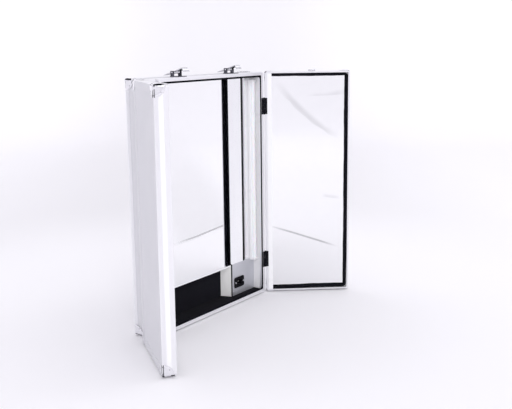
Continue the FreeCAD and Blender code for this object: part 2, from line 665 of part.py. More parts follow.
def latchPlace():
    """The right latch's axes: origin on its pin, x across, y back, z up."""
    at = FreeCAD.Vector(d.latch_from_middle.number,
                        (d.parting_setback + d.latch_pin_back).number,
                        (caseTop + d.latch_pin_rise).number)
    return FreeCAD.Placement(at, FreeCAD.Rotation())


def rightLatch():
    """A lever latch on the body's top: base plate with two ears, pin, and rocking lever with a hook."""
    half = d.latch_width / 2
    pinY = d.latch_pin_back
    low = -d.latch_pin_rise
    plate = block("latch_plate", (-half, half), (d.latch_base_front - pinY, d.latch_base_back - pinY),
                  (low, low + d.latch_base_thickness))
    ears = []
    for xs in ((-half, -half + d.ear_thickness), (half - d.ear_thickness, half)):
        ears.append(block("latch_ear", xs, (-d.ear_length / 2, d.ear_length / 2), (low, d.ear_rise)))
    end = half + d.pin_stand
    bore = rod("latch_bore", d.latch_pin_radius + d.running_gap, end * 2, (-end, zero, zero), (1, 0, 0))
    base = cut("latch_base", fused("latch_base_solid", [plate] + ears), bore)
    bothSides("latch_bases", [base], latchPlace())
    pin = rod("latch_pin", d.latch_pin_radius, end * 2, (-end, zero, zero), (1, 0, 0))
    bothSides("latch_pins", [pin], latchPlace())
    wide = d.lever_width / 2
    top = d.lever_rise + d.lever_thickness
    tip = -d.lever_reach - d.hook_thickness
    arm = block("lever_arm", (-wide, wide), (tip, d.lever_tail), (d.lever_rise, top))
    hook = block("lever_hook", (-wide, wide), (tip, -d.lever_reach), (top - d.hook_drop, top))
    barrel = rod("lever_barrel", d.barrel_radius, d.lever_width, (-wide, zero, zero), (1, 0, 0))
    eye = rod("lever_eye", d.latch_pin_radius + d.running_gap, end * 2, (-end, zero, zero), (1, 0, 0))
    lever = cut("latch_lever", fused("lever_solid", [arm, hook, barrel]), eye)
    raised = FreeCAD.Rotation(FreeCAD.Vector(-1, 0, 0), d.lever_angle.number)
    keep("right_latch_lever", lever).Placement = FreeCAD.Placement(latchPlace().Base, raised)


def bentRod(name, points, radius, bend):
    """A round lead along straight runs joined by tangent arcs of one radius."""
    corners = [FreeCAD.Vector(*(size.number for size in point)) for point in points]
    edges = []
    start = corners[0]
    for before, corner, after in zip(corners, corners[1:], corners[2:]):
        inward = (before - corner).normalize()
        onward = (after - corner).normalize()
        reach = bend / math.tan(inward.getAngle(onward) / 2)
        arcStart = corner + inward * reach
        arcEnd = corner + onward * reach
        centre = corner + (inward + onward).normalize() * math.hypot(reach, bend)
        middle = centre + (corner - centre).normalize() * bend
        edges.append(Part.LineSegment(start, arcStart).toShape())
        edges.append(Part.Arc(arcStart, middle, arcEnd).toShape())
        start = arcEnd
    edges.append(Part.LineSegment(start, corners[-1]).toShape())
    section = Part.Wire([Part.makeCircle(radius, corners[0], corners[1] - corners[0])])
    lead = doc.addObject("Part::Feature", name)
    lead.Shape = Part.Wire(edges).makePipeShell([section], True, False)
    return lead


def internalLeads():
    """Leads inside the case: inlet to ballast, ballast to ballast, and a stub into each lamp."""
    y, floor = d.lead_back, d.ballast_bottom
    inletBack = mirrorFace - d.flange_thickness + d.socket_depth + d.inlet_shell
    supply = [(inletX, inletBack, d.inlet_height), (inletX, y, d.inlet_height),
              (leadX, y, d.inlet_height), (leadX, y, floor)]
    crossX = ballastX + d.ballast_width / 2 - d.lead_spread
    cross = [(crossX, y, floor), (crossX, y, d.lead_cross_height),
             (-crossX, y, d.lead_cross_height), (-crossX, y, floor)]
    radius, bend = d.lead_radius.number, d.lead_bend.number
    leads = [bentRod("supply_lead", supply, radius, bend), bentRod("cross_lead", cross, radius, bend)]
    stubLength = backPanelFace - d.ballast_depth - mirrorFace
    for side in (-1, 1):
        leads.append(rod("lamp_stub", d.lead_radius, stubLength, (stubX * side, mirrorFace, d.stub_height),
                         (0, 1, 0)))
    group("internal_leads", leads, bodyPlace())


def leftTwins():
    """Mirror every right-hand sub-part to the left."""
    for name in [key for key in pieces if key.startswith("right_") and key != "right_wall_panel"]:
        mirrored(name.replace("right_", "left_", 1), pieces[name])


def checkAndWrite():
    """Stop on any failed object or bad shape, then write one STEP file for each sub-part."""
    doc.recompute()
    failed = [o.Label for o in doc.Objects if "Invalid" in o.State or "Error" in o.State]
    bad = [name for name, piece in pieces.items() if piece.Shape.isNull() or not piece.Shape.isValid()]
    if failed or bad:
        raise RuntimeError("failed objects: %s; bad shapes: %s" % (failed, bad))
    os.makedirs("parts", exist_ok=True)
    for name, piece in pieces.items():
        piece.Shape.exportStep("parts/%s.step" % name)
        print("%-28s %2d solid(s) %12.1f mm3" % (name, len(piece.Shape.Solids), piece.Shape.Volume))


bodyCase()
rimGasket()
centreMirror()
compartmentLining()
rightLamp()
electricalBox()
mainsInlet()
internalLeads()
feet()
bodyCorners()
rightDoor()
hinges()
rightLatch()
leftTwins()
checkAndWrite()
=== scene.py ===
import json
import math

import bmesh
import bpy
import numpy as np
from mathutils import Matrix, Vector


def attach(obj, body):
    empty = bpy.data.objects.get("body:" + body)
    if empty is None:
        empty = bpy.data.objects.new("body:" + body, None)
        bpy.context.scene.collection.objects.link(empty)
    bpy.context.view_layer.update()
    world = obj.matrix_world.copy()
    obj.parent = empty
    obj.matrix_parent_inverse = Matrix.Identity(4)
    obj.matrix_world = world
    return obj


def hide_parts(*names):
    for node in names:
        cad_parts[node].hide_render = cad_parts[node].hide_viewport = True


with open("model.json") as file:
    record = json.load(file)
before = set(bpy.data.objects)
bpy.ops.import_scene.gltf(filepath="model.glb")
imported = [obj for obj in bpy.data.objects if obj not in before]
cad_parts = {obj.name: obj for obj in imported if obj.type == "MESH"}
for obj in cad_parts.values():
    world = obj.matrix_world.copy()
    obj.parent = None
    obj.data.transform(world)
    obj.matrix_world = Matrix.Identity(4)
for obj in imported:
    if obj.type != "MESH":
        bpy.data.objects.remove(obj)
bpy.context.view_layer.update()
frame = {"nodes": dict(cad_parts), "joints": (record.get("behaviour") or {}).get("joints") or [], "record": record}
print("frame loaded:", len(frame["nodes"]), "nodes")

mm = 0.001
joints = {joint["name"]: joint for joint in frame["joints"]}
merging = {"reach": 0.002 * mm, "grid": 0.01 * mm}  # points closer than this are one
finishes, finishSlots, slotFinish = {}, {}, {}  # a finish's material and slot, and a slot's first finish


# every body has its own axes: one row for each of x, y and z
def makePlace(body, origin, right, back, up):
    axes = np.array([right, back, up], float)
    return {"body": body, "origin": np.array(origin, float), "axes": axes, "flip": np.linalg.det(axes) < 0}


def doorPlace(side, sign):
    # x runs from the hinge pin to the free edge, y out through the door, z up
    joint = joints[side + "_door_hinge"]
    opened = math.radians(-joint["range_deg"][0])
    across = (-math.cos(opened) * sign, -math.sin(opened), 0)
    out = (math.sin(opened) * sign, -math.cos(opened), 0)
    return makePlace(side + "_door", (joint["pos_m"][0], joint["pos_m"][1], 0), across, out, (0, 0, 1))


def latchPlace(side):
    # origin on the pin, x across, y back along the lever, z out of its top
    joint = joints[side + "_latch_pivot"]
    raised = math.radians(-joint["range_deg"][0])
    back = (0, math.cos(raised), -math.sin(raised))
    up = (0, math.sin(raised), math.cos(raised))
    return makePlace(side + "_latch", joint["pos_m"], (1, 0, 0), back, up)


parting = joints["right_door_hinge"]["pos_m"][1]
case = makePlace("case", (0, parting, 0), (1, 0, 0), (0, 1, 0), (0, 0, 1))
doors = {"left": doorPlace("left", -1), "right": doorPlace("right", 1)}
latches = {side: latchPlace(side) for side in doors}


def nodePoints(node, place):
    mesh = frame["nodes"][node].data
    points = np.empty(len(mesh.vertices) * 3)
    mesh.vertices.foreach_get("co", points)
    return (points.reshape(-1, 3) - place["origin"]) @ place["axes"].T


def localBox(node, place):
    # lowest and highest corner of a CAD node, measured along a body's own axes
    points = nodePoints(node, place)
    return points.min(0), points.max(0)


def solidBoxes(node, place):
    # the box of each separate solid in a node: triangles that share a point take the lowest label
    mesh = frame["nodes"][node].data
    points = nodePoints(node, place)
    corners = np.empty(len(mesh.polygons) * 3, int)
    mesh.loops.foreach_get("vertex_index", corners)
    _, weld = np.unique(np.round(points / merging["grid"]).astype(int), axis=0, return_inverse=True)
    weld = weld.ravel()
    triangles = weld[corners].reshape(-1, 3)
    label = np.arange(weld.max() + 1)
    while True:
        lower = label.copy()
        np.minimum.at(lower, triangles, label[triangles].min(1)[:, None])
        lower = lower[lower]
        if (lower == label).all():
            break
        label = lower
    own = label[weld]
    return [(points[own == one].min(0), points[own == one].max(0)) for one in np.unique(own)]


def gridFaces(rows, columns, closeRows=False, closeColumns=False):
    # quads of a grid of points, row by row; a closed side joins its last line to its first
    row = np.arange(rows if closeRows else rows - 1)[:, None]
    column = np.arange(columns if closeColumns else columns - 1)[None, :]
    nextRow = (row + 1) % rows
    nextColumn = (column + 1) % columns
    quads = np.stack((row * columns + column, row * columns + nextColumn,
                      nextRow * columns + nextColumn, nextRow * columns + column), -1)
    return quads.reshape(-1, 4).tolist()


def endFaces(rows, columns):
    # the two faces that close the first and the last ring of a tube
    return [list(range(columns))[::-1], list(range((rows - 1) * columns, rows * columns))]


def addToScene(name, data):
    added = bpy.data.objects.new(name, data)
    bpy.context.scene.collection.objects.link(added)
    return added


def addUv(mesh, name, uv):
    # one pair for each vertex, handed on to the face corners
    layer = mesh.uv_layers.new(name=name)
    corners = np.empty(len(mesh.loops), int)
    mesh.loops.foreach_get("vertex_index", corners)
    layer.data.foreach_set("uv", uv.reshape(-1, 2)[corners].astype(np.float32).ravel())


def newPiece(name, points, faces, place, finish, nodes=(), uv=None, closed=True, sharp=35):
    # points are in the place's own axes and become row coordinates here; closed shells get outward faces
    mesh = bpy.data.meshes.new(name)
    world = points.reshape(-1, 3) @ place["axes"] + place["origin"]
    mesh.from_pydata(world.tolist(), [], [face[::-1] for face in faces] if place["flip"] else faces)
    if uv is not None:
        addUv(mesh, "along", uv)
    shell = bmesh.new()
    shell.from_mesh(mesh)
    bmesh.ops.remove_doubles(shell, verts=shell.verts, dist=merging["reach"])
    if closed:
        bmesh.ops.recalc_face_normals(shell, faces=shell.faces)
    shell.to_mesh(mesh)
    shell.free()
    mesh.shade_smooth()
    mesh.set_sharp_from_angle(angle=math.radians(sharp))
    piece = addToScene(name, mesh)
    mesh.materials.append(finishes[finish])
    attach(piece, place["body"])
    if nodes:
        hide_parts(*nodes)
    return piece


def joined(parts):
    # several (points, faces) shells as one
    points, faces, start = [], [], 0
    for shellPoints, shellFaces in parts:
        shellPoints = shellPoints.reshape(-1, 3)
        points.append(shellPoints)
        faces += [[index + start for index in face] for face in shellFaces]
        start += len(shellPoints)
    return np.concatenate(points), faces


def softCorners(outline, reach, steps=3, shareOfSide=0.45):
    # each corner of a closed outline becomes a curve, (1 - t)^2 * start + 2 t (1 - t) * corner + t^2 * end,
    # that starts and ends at its reach from the corner, or at a share of the shorter side if that is less
    outline = np.array(outline, float)
    before = np.roll(outline, 1, 0) - outline
    after = np.roll(outline, -1, 0) - outline
    longBefore = np.linalg.norm(before, axis=1, keepdims=True)
    longAfter = np.linalg.norm(after, axis=1, keepdims=True)
    most = shareOfSide * np.minimum(longBefore, longAfter)
    reach = np.minimum(np.broadcast_to(np.reshape(reach, (-1, 1)), most.shape), most)
    start = outline + before / longBefore * reach
    end = outline + after / longAfter * reach
    t = np.linspace(0, 1, steps + 1)[None, :, None]
    curve = (1 - t) ** 2 * start[:, None] + 2 * t * (1 - t) * outline[:, None] + t ** 2 * end[:, None]
    return curve.reshape(-1, 2)


def roundRectangle(xs, zs, radius, steps):
    # four quarter arcs, corner centre + radius * (cosine, sine), with straight sides between them
    turn = np.linspace(0, math.pi / 2, steps + 1)
    centres = np.array([(xs[1] - radius, zs[0] + radius), (xs[1] - radius, zs[1] - radius),
                        (xs[0] + radius, zs[1] - radius), (xs[0] + radius, zs[0] + radius)])
    angle = np.radians([-90, 0, 90, 180])[:, None] + turn
    ring = centres[:, None] + radius * np.stack((np.cos(angle), np.sin(angle)), -1)
    return ring.reshape(-1, 2)


def frameRing(low, high, section, outerRound, innerRound, steps=6):
    # a section of (inset, depth) points carried round a rectangle; the corner radius runs evenly from
    # the outer round at inset 0 to the inner round at the largest inset
    section = np.array(section, float)
    band = section[:, 0].max()
    loops = []
    for inset, depth in section:
        radius = outerRound + (innerRound - outerRound) * inset / band
        xs, zs = (low[0] + inset, high[0] - inset), (low[2] + inset, high[2] - inset)
        loop = roundRectangle(xs, zs, radius, steps)
        loops.append(np.column_stack((loop[:, 0], np.full(len(loop), depth), loop[:, 1])))
    points = np.array(loops)
    alongStep = np.linalg.norm(np.diff(points[0], axis=0, append=points[0][:1]), axis=1)
    acrossStep = np.linalg.norm(np.diff(section, axis=0, append=section[:1]), axis=1)
    along = np.concatenate(([0], np.cumsum(alongStep)[:-1]))
    across = np.concatenate(([0], np.cumsum(acrossStep)[:-1]))
    uv = np.stack(np.broadcast_arrays(along[None, :], across[:, None]), -1)
    return points, gridFaces(len(section), len(points[0]), True, True), uv


def lathe(profile, centre, axis, sides=20):
    # a profile of (radius, height) pairs turned round an axis: centre + radius * (cosine, sine) + height
    axis = np.array(axis, float)
    across = np.cross(axis, (1, 0, 0) if abs(axis[0]) < 0.9 else (0, 1, 0))
    across /= np.linalg.norm(across)
    other = np.cross(axis, across)
    angle = np.linspace(0, 2 * math.pi, sides, endpoint=False)
    ring = np.cos(angle)[:, None] * across + np.sin(angle)[:, None] * other
    profile = np.array(profile, float)
    points = np.array(centre) + profile[:, 0, None, None] * ring + profile[:, 1, None, None] * axis
    return points.reshape(-1, 3), gridFaces(len(profile), sides, False, True) + endFaces(len(profile), sides)


rounding = {"flatWithin": 1, "bevelFrom": 40, "sharpFrom": 50}  # degrees between neighbouring faces


def softened(node, name, finish, width, body="case", segments=2):
    # a copy of a CAD mesh with its triangles merged into flat faces and its sharp edges rounded
    mesh = frame["nodes"][node].data.copy()
    shell = bmesh.new()
    shell.from_mesh(mesh)
    bmesh.ops.remove_doubles(shell, verts=shell.verts, dist=merging["reach"])
    flat = math.radians(rounding["flatWithin"])
    bmesh.ops.dissolve_limit(shell, angle_limit=flat, verts=shell.verts, edges=shell.edges)
    shell.to_mesh(mesh)
    shell.free()
    mesh.materials.clear()
    mesh.materials.append(finishes[finish])
    piece = addToScene(name, mesh)
    bevel = piece.modifiers.new("roundedEdges", "BEVEL")
    bevel.width = width
    bevel.segments = segments
    bevel.limit_method = "ANGLE"
    bevel.angle_limit = math.radians(rounding["bevelFrom"])
    bevel.use_clamp_overlap = True
    mesh.shade_smooth()
    mesh.set_sharp_from_angle(angle=math.radians(rounding["sharpFrom"]))
    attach(piece, body)
    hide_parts(node)
    return piece


def paintWhere(piece, finish, chosen):
    # the faces picked by their middles and directions, in row metres, take a second finish
    mesh = piece.data
    mesh.materials.append(finishes[finish])
    middles, directions = np.empty(len(mesh.polygons) * 3), np.empty(len(mesh.polygons) * 3)
    mesh.polygons.foreach_get("center", middles)
    mesh.polygons.foreach_get("normal", directions)
    picked = chosen(middles.reshape(-1, 3), directions.reshape(-1, 3))
    mesh.polygons.foreach_set("material_index", picked.astype(np.int32))


def addNode(tree, kind, inputs=None, **settings):
    node = tree.nodes.new("ShaderNode" + kind)
    for name, value in settings.items():
        setattr(node, name, value)
    for name, value in (inputs or {}).items():
        if isinstance(value, bpy.types.NodeSocket):
            tree.links.new(value, node.inputs[name])
        else:
            node.inputs[name].default_value = value
    return node


def newMaterial(name):
    material = bpy.data.materials.new(name)
    material.use_nodes = True
    material.node_tree.nodes.clear()
    return material, material.node_tree


def ramp(tree, value, start, end, first=0.0, last=1.0, kind="SMOOTHSTEP"):
    # goes from the first number to the last while the value goes from start to end
    return addNode(tree, "MapRange", {"Value": value, "From Min": start, "From Max": end, "To Min": first,
                                      "To Max": last}, interpolation_type=kind).outputs["Result"]


def spread(tree, value, low, high):
    # a 0 to 1 pattern stretched between two numbers, with its soft middle made crisper
    return ramp(tree, value, 0.3, 0.7, low, high, "LINEAR")


def maths(tree, operation, *values):
    return addNode(tree, "Math", dict(enumerate(values)), operation=operation).outputs[0]


def mixColours(tree, share, first, second):
    # sockets 0, 6 and 7 are a colour mix's share and its two colours
    node = addNode(tree, "Mix", data_type="RGBA")
    for index, value in ((0, share), (6, first), (7, second)):
        if isinstance(value, bpy.types.NodeSocket):
            tree.links.new(value, node.inputs[index])
        else:
            node.inputs[index].default_value = value
    return node.outputs[2]


scuffs = {"turn": (0.4, 0.9, 0.3), "grain": (30, 260, 45), "from": 0.66, "to": 0.72}
# painted reflection: dark patches painted on the rounded edges of the chrome caps
paintedDarkReflections = {"bentFrom": 0.05, "bentTo": 0.3, "from": 0.47, "to": 0.5, "colour": (0.012, 0.012, 0.018, 1)}


def makeFinish(name, slotName, look):
    # fine grain and slow clouds mix two colours; grain sets the relief, clouds the roughness. The numbers
    # of both are repeats in a metre
    material, tree = newMaterial(name)
    where = addNode(tree, "TexCoord").outputs["UV" if look.get("followsPath") else "Object"]
    stretched = addNode(tree, "Mapping", {"Vector": where, "Scale": look["grain"]}).outputs["Vector"]
    if look.get("pores"):
        grain = addNode(tree, "TexVoronoi", {"Vector": stretched, "Scale": 1.0}).outputs["Distance"]
    else:
        grain = addNode(tree, "TexNoise", {"Vector": stretched, "Scale": 1.0, "Detail": look.get("detail", 4),
                                           "Roughness": 0.62}).outputs["Fac"]
    clouds = addNode(tree, "TexNoise", {"Vector": where, "Scale": look["clouds"], "Detail": 3,
                                        "Roughness": 0.5}).outputs["Fac"]
    dark, light = (list(colour) + [1] for colour in look["colours"])
    fine = mixColours(tree, spread(tree, grain, 0, 1), dark, light)
    middle = [(a + b) / 2 for a, b in zip(dark, light)]
    colour = mixColours(tree, spread(tree, clouds, look.get("cloudLow", 0.1), look.get("cloudHigh", 0.6)),
                        fine, middle)
    if look.get("wear"):
        # thin scuffs: a narrow band of a much stretched noise
        line = addNode(tree, "Mapping", {"Vector": where, "Rotation": scuffs["turn"],
                                         "Scale": scuffs["grain"]}).outputs["Vector"]
        scuff = addNode(tree, "TexNoise", {"Vector": line, "Scale": 1.0, "Detail": 2}).outputs["Fac"]
        narrow = ramp(tree, scuff, scuffs["from"], scuffs["to"], 0.0, look["wear"], "LINEAR")
        colour = mixColours(tree, narrow, colour, list(look["wearColour"]) + [1])
    if look.get("paintedReflectionScale"):
        # painted reflection: dark patches painted on the rounded edges stand in for the dark side of the room
        # mirrored there
        bend = addNode(tree, "SeparateXYZ", {"Vector": addNode(tree, "TexCoord").outputs["UV"]}).outputs["X"]
        patch = addNode(tree, "TexNoise", {"Vector": where, "Scale": look["paintedReflectionScale"],
                                           "Detail": 1}).outputs["Fac"]
        bent = ramp(tree, bend, paintedDarkReflections["bentFrom"], paintedDarkReflections["bentTo"])
        crisp = ramp(tree, patch, paintedDarkReflections["from"], paintedDarkReflections["to"], kind="LINEAR")
        colour = mixColours(tree, maths(tree, "MULTIPLY", bent, crisp), colour, paintedDarkReflections["colour"])
    rough = spread(tree, clouds, *look["rough"])
    relief = addNode(tree, "Bump", {"Height": grain, "Strength": look.get("reliefShare", 0.5),
                                    "Distance": look["relief"]}).outputs["Normal"]
    inputs = {"Base Color": colour, "Roughness": rough, "Normal": relief, "Metallic": look.get("metal", 0.0)}
    inputs.update(look.get("shader", {}))
    shader = addNode(tree, "BsdfPrincipled", inputs)
    addNode(tree, "OutputMaterial", {"Surface": shader.outputs["BSDF"]})
    finishes[name] = material
    finishSlots[name] = slotName
    slotFinish.setdefault(slotName, name)


looks = {
    "satinProfile": ("aluminium_profile", {
        "colours": ((0.86, 0.86, 0.885), (0.94, 0.94, 0.96)), "grain": (6, 2600, 1), "followsPath": True,
        "clouds": 22, "rough": (0.30, 0.40), "relief": 0.00004, "metal": 0.85}),
    "greyLaminate": ("panel_laminate", {
        "colours": ((0.66, 0.66, 0.69), (0.72, 0.72, 0.75)), "grain": (900, 900, 900), "clouds": 9,
        "rough": (0.42, 0.55), "relief": 0.00006, "reliefShare": 0.35, "wear": 0.16,
        "wearColour": (0.78, 0.78, 0.81)}),
    # a paler copy of the grey laminate; on the inner faces of the case walls it is painted light
    "paleLaminate": ("panel_laminate", {
        "colours": ((0.89, 0.89, 0.905), (0.94, 0.94, 0.95)), "grain": (900, 900, 900), "clouds": 9,
        "rough": (0.42, 0.55), "relief": 0.00006, "reliefShare": 0.35}),
    "greyLip": ("aluminium_profile", {
        "colours": ((0.68, 0.68, 0.705), (0.74, 0.74, 0.765)), "grain": (6, 2600, 1), "followsPath": True,
        "clouds": 22, "rough": (0.42, 0.52), "relief": 0.00004, "metal": 0.25}),
    "chromeCap": ("chrome_corner", {
        "colours": ((0.80, 0.80, 0.83), (0.90, 0.90, 0.92)), "grain": (260, 260, 260), "clouds": 60,
        "rough": (0.05, 0.13), "relief": 0.00003, "reliefShare": 0.3, "metal": 1.0, "wear": 0.3,
        "wearColour": (0.55, 0.55, 0.58), "paintedReflectionScale": 48}),
    "silveredGlass": ("mirror_glass", {
        "colours": ((0.945, 0.948, 0.956), (0.962, 0.965, 0.971)), "grain": (40, 40, 40), "clouds": 5,
        "rough": (0.004, 0.022), "relief": 0.0000006, "reliefShare": 0.15, "metal": 1.0}),
    "pineBoard": ("board", {
        "colours": ((0.42, 0.30, 0.18), (0.66, 0.52, 0.36)), "grain": (180, 180, 9), "clouds": 12,
        "rough": (0.6, 0.8), "relief": 0.0002}),
    "blackFoam": ("black_foam", {
        "colours": ((0.002, 0.002, 0.004), (0.012, 0.012, 0.017)), "grain": (1300, 1300, 1300),
        "pores": True, "clouds": 70, "rough": (0.75, 0.95), "relief": 0.0006, "reliefShare": 0.9,
        "shader": {"Specular IOR Level": 0.05}}),
    "whiteFoam": ("white_foam", {
        "colours": ((0.82, 0.82, 0.80), (0.93, 0.93, 0.91)), "grain": (500, 500, 500), "pores": True,
        "clouds": 30, "rough": (0.8, 0.95), "relief": 0.0004}),
    "feltCarpet": ("black_carpet", {
        "colours": ((0.002, 0.002, 0.004), (0.016, 0.016, 0.022)), "grain": (1500, 420, 1500), "detail": 8,
        "clouds": 26, "rough": (0.85, 1.0), "relief": 0.0012, "reliefShare": 0.9,
        "shader": {"Specular IOR Level": 0.04, "Sheen Weight": 0.02, "Sheen Roughness": 0.5}}),
    "whiteEnamel": ("white_enamel", {
        "colours": ((0.90, 0.90, 0.915), (0.95, 0.95, 0.965)), "grain": (1100, 1100, 1100), "clouds": 16,
        "rough": (0.26, 0.36), "relief": 0.00005, "reliefShare": 0.4,
        "shader": {"Coat Weight": 0.2, "Coat Roughness": 0.2}}),
    "opalLens": ("lamp_lens", {
        "colours": ((0.88, 0.88, 0.90), (0.93, 0.93, 0.94)), "grain": (700, 700, 60), "clouds": 12,
        "rough": (0.22, 0.32), "relief": 0.00003, "reliefShare": 0.3,
        "shader": {"Subsurface Weight": 0.25, "Subsurface Scale": 0.004}}),
    "brushedPanel": ("brushed_panel", {
        "colours": ((0.56, 0.57, 0.615), (0.76, 0.77, 0.81)), "grain": (2400, 30, 22), "detail": 6,
        "clouds": 16, "rough": (0.34, 0.46), "relief": 0.00006, "metal": 0.6}),
    "creamPlate": ("cream_plate", {
        "colours": ((0.93, 0.93, 0.915), (0.97, 0.97, 0.955)), "grain": (900, 900, 900), "clouds": 24,
        "rough": (0.34, 0.48), "relief": 0.00006, "reliefShare": 0.4}),
    "inletMoulding": ("inlet_plastic", {
        "colours": ((0.002, 0.002, 0.003), (0.009, 0.009, 0.012)), "grain": (2200, 2200, 2200),
        "pores": True, "clouds": 80, "rough": (0.45, 0.6), "relief": 0.00008, "reliefShare": 0.5,
        "shader": {"Specular IOR Level": 0.06}}),
    "nickelPin": ("nickel_pin", {
        "colours": ((0.72, 0.71, 0.67), (0.88, 0.87, 0.83)), "grain": (500, 2500, 500), "clouds": 200,
        "rough": (0.12, 0.24), "relief": 0.00002, "metal": 1.0}),
    "blackHinge": ("black_hinge", {
        "colours": ((0.003, 0.003, 0.005), (0.013, 0.013, 0.018)), "grain": (1600, 1600, 1600),
        "clouds": 90, "rough": (0.55, 0.7), "relief": 0.00007, "wear": 0.2,
        "wearColour": (0.12, 0.12, 0.14), "shader": {"Specular IOR Level": 0.05}}),
    "zincSteel": ("steel", {
        "colours": ((0.55, 0.55, 0.58), (0.74, 0.74, 0.77)), "grain": (700, 700, 700), "clouds": 150,
        "rough": (0.2, 0.36), "relief": 0.00003, "metal": 1.0}),
    "handledChrome": ("latch_chrome", {
        "colours": ((0.60, 0.60, 0.63), (0.80, 0.80, 0.82)), "grain": (420, 420, 420), "clouds": 90,
        "rough": (0.10, 0.22), "relief": 0.00003, "metal": 1.0, "wear": 0.3,
        "wearColour": (0.30, 0.30, 0.32)}),
    # a darkened copy of the latch chrome: painted shade and painted dark reflection on the latch bases under the
    # levers
    "chromeWithPaintedShade": ("latch_chrome", {
        "colours": ((0.05, 0.05, 0.065), (0.16, 0.16, 0.18)), "grain": (420, 420, 420), "clouds": 90,
        "rough": (0.16, 0.3), "relief": 0.00003, "metal": 1.0, "wear": 0.5,
        "wearColour": (0.55, 0.55, 0.58)}),
    "footRubber": ("foot_rubber", {
        "colours": ((0.010, 0.010, 0.011), (0.028, 0.028, 0.030)), "grain": (900, 900, 900),
        "clouds": 120, "rough": (0.7, 0.9), "relief": 0.0001}),
    "greySheath": ("lead_sheath", {
        "colours": ((0.66, 0.66, 0.67), (0.74, 0.74, 0.75)), "grain": (700, 700, 700), "clouds": 60,
        "rough": (0.4, 0.55), "relief": 0.00006}),
    "zincCase": ("ballast_case", {
        "colours": ((0.58, 0.59, 0.61), (0.76, 0.77, 0.79)), "grain": (90, 90, 90), "pores": True,
        "clouds": 24, "rough": (0.3, 0.45), "relief": 0.00003, "metal": 0.9}),
}
for finishName, (slotName, look) in looks.items():
    makeFinish(finishName, slotName, look)
print("finishes made:", len(finishes))

for subpart in frame["record"]["subparts"]:
    node = frame["nodes"][subpart["node"]]
    node.data.materials.clear()
    pale = subpart["node"].endswith("door_walls")
    node.data.materials.append(finishes["paleLaminate" if pale else slotFinish[subpart["material_slot"]]])


rim = {"bodyBand": 10 * mm, "doorBand": 5 * mm, "bodyGroove": 0.52, "doorGroove": 0.3, "grooveWide": 0.9 * mm,
       "grooveDeep": 1.1 * mm, "softEdge": 0.35 * mm, "grooveEdge": 0.12 * mm}
edge = {"outerRound": 7 * mm, "innerRound": 0.5 * mm, "backRound": 3 * mm, "softEdge": 0.3 * mm,
        "innerEdge": 0.2 * mm, "lipWide": 20 * mm, "lipThick": 1 * mm, "legBand": 7 * mm,
        "grooveWide": 0.6 * mm, "grooveDeep": 0.5 * mm, "grooveSlope": 0.1 * mm, "grooveEdge": 0.12 * mm,
        "groovesAt": (0.22, 0.5)}


def makeRims():
    # a flat bar with a shallow groove along its closing face
    cases = [("bodyRim", "body_closing_rim", case, rim["bodyBand"], rim["bodyGroove"])]
    cases += [(side + "DoorRim", side + "_door_rim", place, rim["doorBand"], rim["doorGroove"])
              for side, place in doors.items()]
    for name, node, place, band, grooveAt in cases:
        low, high = localBox(node, place)
        near, far = low[1], high[1]
        start = band * grooveAt
        end, floor = start + rim["grooveWide"], near + rim["grooveDeep"]
        outline = [(0, far), (0, near), (start, near), (start, floor), (end, floor), (end, near),
                   (band, near), (band, far)]
        outer, groove = [rim["softEdge"]] * 2, [rim["grooveEdge"]] * 4
        section = softCorners(outline, outer + groove + outer)
        points, faces, uv = frameRing(low, high, section, edge["outerRound"], edge["innerRound"])
        newPiece(name, points, faces, place, "satinProfile", [node], uv)


def makeEdgeProfiles():
    # an angle round the outer edge: a side leg with two fine grooves, and a thin lip over the panel
    cases = [("bodyEdge", "body_edge_profile", case)]
    cases += [(side + "DoorEdge", side + "_door_edge_profile", place) for side, place in doors.items()]
    for name, node, place in cases:
        low, high = localBox(node, place)
        near, far = low[1], high[1]
        lip, leg = edge["lipWide"], edge["legBand"]
        wide, deep, slope = edge["grooveWide"], edge["grooveDeep"], edge["grooveSlope"]
        outline = [(0, far), (lip, far), (lip, far - edge["lipThick"]), (leg, far - edge["lipThick"]),
                   (leg, near), (0, near)]
        soft = edge["softEdge"]
        reaches = [edge["backRound"], soft, soft, edge["innerEdge"], soft, soft]
        for share in edge["groovesAt"]:
            start = near + (far - near) * share
            outline += [(0, start), (deep, start + slope), (deep, start + wide - slope), (0, start + wide)]
            reaches += [edge["grooveEdge"]] * 4
        section = softCorners(outline, reaches, 4)
        points, faces, uv = frameRing(low, high, section, edge["outerRound"], edge["innerRound"])
        piece = newPiece(name, points, faces, place, "satinProfile", [node], uv)
        greyLip(piece, place, far)


def greyLip(piece, place, far):
    # faces whose middle lies on the lip's outer plane take the panel's grey
    outward = place["axes"][1]
    paintWhere(piece, "greyLip",
               lambda middles, directions: (middles - place["origin"]) @ outward > far - 0.1 * mm)


makeRims()
makeEdgeProfiles()
print("profiles made")


def bulb(wide, deep, start, count=20, power=0.55):
    # a squared oval: sign(cosine) * |cosine| ** power across, the same with the sine in depth
    angle = np.linspace(0, 2 * math.pi, count, endpoint=False)
    across = np.sign(np.cos(angle)) * np.abs(np.cos(angle)) ** power
    depth = np.sign(np.sin(angle)) * np.abs(np.sin(angle)) ** power
    return np.column_stack((wide * (across + 1) / 2, start + deep * (depth + 1) / 2))


seal = {"band": 5.4 * mm, "outerRound": 4 * mm, "innerRound": 9 * mm}


def makeSeal():
    # a squared oval carried round the mouth of the case
    low, high = localBox("rim_gasket", case)
    section = bulb(seal["band"], high[1] - low[1], low[1])
    points, faces, uv = frameRing(low, high, section, seal["outerRound"], seal["innerRound"], 10)
    newPiece("bodySeal", points, faces, case, "blackFoam", ["rim_gasket"], uv)


